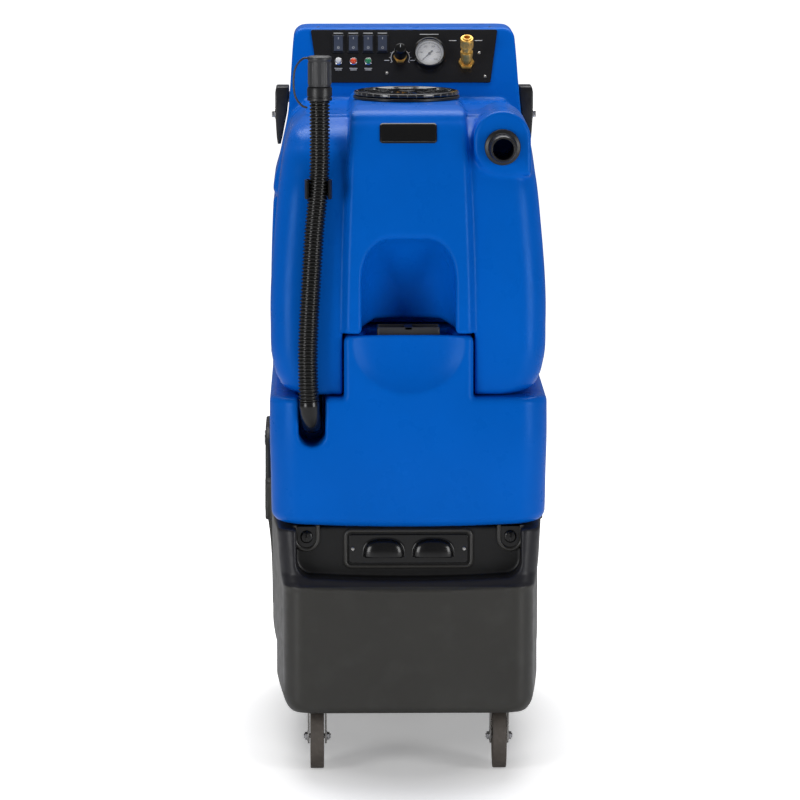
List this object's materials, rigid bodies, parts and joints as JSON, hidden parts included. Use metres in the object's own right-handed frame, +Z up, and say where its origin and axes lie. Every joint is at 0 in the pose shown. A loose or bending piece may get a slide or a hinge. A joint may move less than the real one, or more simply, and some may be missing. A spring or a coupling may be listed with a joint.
{
  "type": "carpet cleaner machine",
  "caption": "Upright box extractor for carpets: dark base on front casters and rear wheels, blue solution and recovery tanks, control tower, drain hose and rear push handle.",
  "frame": {"origin": "on the floor under the middle of the machine's box, measured without the drain hose", "axes": "+Z up, front with the drain hose towards -Y, +X to the right seen from the front"},
  "size_m": [0.458, 0.7623, 1.1205],
  "materials": {
    "blue_shell": "semi-gloss moulded polyethylene, faint orange peel",
    "charcoal_shell": "satin moulded polyethylene, fine grain",
    "black_plastic": "satin moulded nylon",
    "panel_black": "smooth glossy overlay",
    "slate_plastic": "satin switch plastic",
    "hose_black": "ribbed flexible vinyl",
    "dark_grip": "soft foam grip",
    "handle_paint": "black powder coat",
    "zinc": "bright zinc plate",
    "steel": "plain steel",
    "chrome_trim": "polished",
    "brass": "machined",
    "caster_tread": "grey brown non-marking rubber",
    "tyre_rubber": "moulded rubber",
    "white_plastic": "smooth",
    "gauge_glass": "clear lens",
    "smoked_clear": "smoked transparent lid",
    "red_lens": "translucent lens",
    "green_lens": "translucent lens",
    "motor_body": "cast and spun"
  },
  "bodies": {
    "base": {"base_housing": "charcoal_shell", "base_pan": "zinc", "vent_plate": "black_plastic", "caster_plate_left": "zinc", "caster_plate_right": "zinc", "rear_axle": "steel", "vacuum_motor_left": "motor_body", "vacuum_motor_right": "motor_body", "solution_pump": "black_plastic", "inline_heater": "motor_body", "power_inlets": "black_plastic", "hinge_pin_left": "steel", "hinge_pin_right": "steel"},
    "catch_left": {"catch_left": "black_plastic"},
    "catch_right": {"catch_right": "black_plastic"},
    "caster_left": {"caster_fork_left": "zinc"},
    "caster_right": {"caster_fork_right": "zinc"},
    "caster_roller_left": {"caster_wheel_left": "caster_tread"},
    "caster_roller_right": {"caster_wheel_right": "caster_tread"},
    "wheel_left": {"rear_wheel_left": "black_plastic", "rear_tyre_left": "tyre_rubber"},
    "wheel_right": {"rear_wheel_right": "black_plastic", "rear_tyre_right": "tyre_rubber"},
    "tanks": {"solution_tank": "blue_shell", "recovery_tank": "blue_shell", "lid_ring": "black_plastic", "vacuum_port": "black_plastic", "vacuum_standpipe": "white_plastic", "float_cage": "white_plastic", "name_plate": "panel_black", "drain_elbow": "black_plastic", "drain_hose": "hose_black", "hose_cuff": "hose_black", "hose_cap": "charcoal_shell", "hose_clip": "black_plastic", "control_panel": "panel_black", "switch_bezels": "slate_plastic", "reset_bezel": "chrome_trim", "lamp_red": "red_lens", "lamp_green": "green_lens", "regulator_nut": "brass", "gauge_case": "black_plastic", "gauge_dial": "white_plastic", "gauge_lens": "gauge_glass", "coupler_body": "brass", "push_handle": "handle_paint", "handle_grip": "dark_grip", "handle_bracket_left": "black_plastic", "handle_bracket_right": "black_plastic"},
    "lid": {"recovery_lid": "smoked_clear"},
    "float": {"float_ball": "white_plastic"},
    "strainer": {"fill_strainer": "charcoal_shell"},
    "rocker_1": {"rocker_1": "slate_plastic"},
    "rocker_2": {"rocker_2": "slate_plastic"},
    "rocker_3": {"rocker_3": "slate_plastic"},
    "rocker_4": {"rocker_4": "slate_plastic"},
    "reset_button": {"reset_button": "white_plastic"},
    "regulator": {"regulator_knob": "black_plastic"},
    "needle": {"gauge_needle": "black_plastic"},
    "coupler_sleeve": {"coupler_sleeve": "brass"}
  },
  "joints": [
    {"name": "body_tilt", "type": "hinge", "parent": "base", "child": "tanks", "pos_m": [0, 0.27, 0.43], "axis": [-1, 0, 0], "range_deg": [0, 60]},
    {"name": "catch_turn_left", "type": "hinge", "parent": "base", "child": "catch_left", "pos_m": [-0.1565, -0.328, 0.369], "axis": [0, -1, 0], "range_deg": [0, 90]},
    {"name": "caster_swivel_left", "type": "hinge", "parent": "base", "child": "caster_left", "pos_m": [-0.141, -0.325, 0.12], "axis": [0, 0, 1], "continuous": true},
    {"name": "caster_roll_left", "type": "hinge", "parent": "caster_left", "child": "caster_roller_left", "pos_m": [-0.141, -0.297, 0.05], "axis": [1, 0, 0], "continuous": true},
    {"name": "wheel_roll_left", "type": "hinge", "parent": "base", "child": "wheel_left", "pos_m": [-0.179, 0.25, 0.127], "axis": [1, 0, 0], "continuous": true},
    {"name": "catch_turn_right", "type": "hinge", "parent": "base", "child": "catch_right", "pos_m": [0.1565, -0.328, 0.369], "axis": [0, -1, 0], "range_deg": [0, 90]},
    {"name": "caster_swivel_right", "type": "hinge", "parent": "base", "child": "caster_right", "pos_m": [0.141, -0.325, 0.12], "axis": [0, 0, 1], "continuous": true},
    {"name": "caster_roll_right", "type": "hinge", "parent": "caster_right", "child": "caster_roller_right", "pos_m": [0.141, -0.297, 0.05], "axis": [1, 0, 0], "continuous": true},
    {"name": "wheel_roll_right", "type": "hinge", "parent": "base", "child": "wheel_right", "pos_m": [0.179, 0.25, 0.127], "axis": [1, 0, 0], "continuous": true},
    {"name": "lid_lift", "type": "slide", "parent": "tanks", "child": "lid", "axis": [0, 0, 1], "range_m": [0, 0.12]},
    {"name": "float_rise", "type": "slide", "parent": "tanks", "child": "float", "axis": [0, 0, 1], "range_m": [0, 0.03]},
    {"name": "strainer_lift", "type": "slide", "parent": "tanks", "child": "strainer", "axis": [0, 0, 1], "range_m": [0, 0.05]},
    {"name": "rocker_throw_1", "type": "hinge", "parent": "tanks", "child": "rocker_1", "pos_m": [-0.1055, 0.09143, 1.09716], "axis": [-1, 0, 0], "range_deg": [0, 16]},
    {"name": "rocker_throw_2", "type": "hinge", "parent": "tanks", "child": "rocker_2", "pos_m": [-0.0815, 0.09143, 1.09716], "axis": [-1, 0, 0], "range_deg": [0, 16]},
    {"name": "rocker_throw_3", "type": "hinge", "parent": "tanks", "child": "rocker_3", "pos_m": [-0.0578, 0.09143, 1.09716], "axis": [-1, 0, 0], "range_deg": [0, 16]},
    {"name": "rocker_throw_4", "type": "hinge", "parent": "tanks", "child": "rocker_4", "pos_m": [-0.0347, 0.09143, 1.09716], "axis": [-1, 0, 0], "range_deg": [0, 16]},
    {"name": "reset_press", "type": "slide", "parent": "tanks", "child": "reset_button", "axis": [0, 0.8829, -0.4695], "range_m": [0, 0.0025], "stiffness_N_per_m": 400},
    {"name": "regulator_turn", "type": "hinge", "parent": "tanks", "child": "regulator", "pos_m": [-0.0065, 0.08477, 1.07442], "axis": [0, -0.8829, 0.4695], "range_deg": [0, 270]},
    {"name": "needle_swing", "type": "hinge", "parent": "tanks", "child": "needle", "pos_m": [0.0403, 0.08642, 1.07751], "axis": [0, 0.8829, -0.4695], "range_deg": [0, 270], "stiffness_Nm_per_rad": 0.002},
    {"name": "coupler_pull", "type": "slide", "parent": "tanks", "child": "coupler_sleeve", "axis": [0, 0.5, -0.866], "range_m": [0, 0.006], "stiffness_N_per_m": 800}
  ]
}
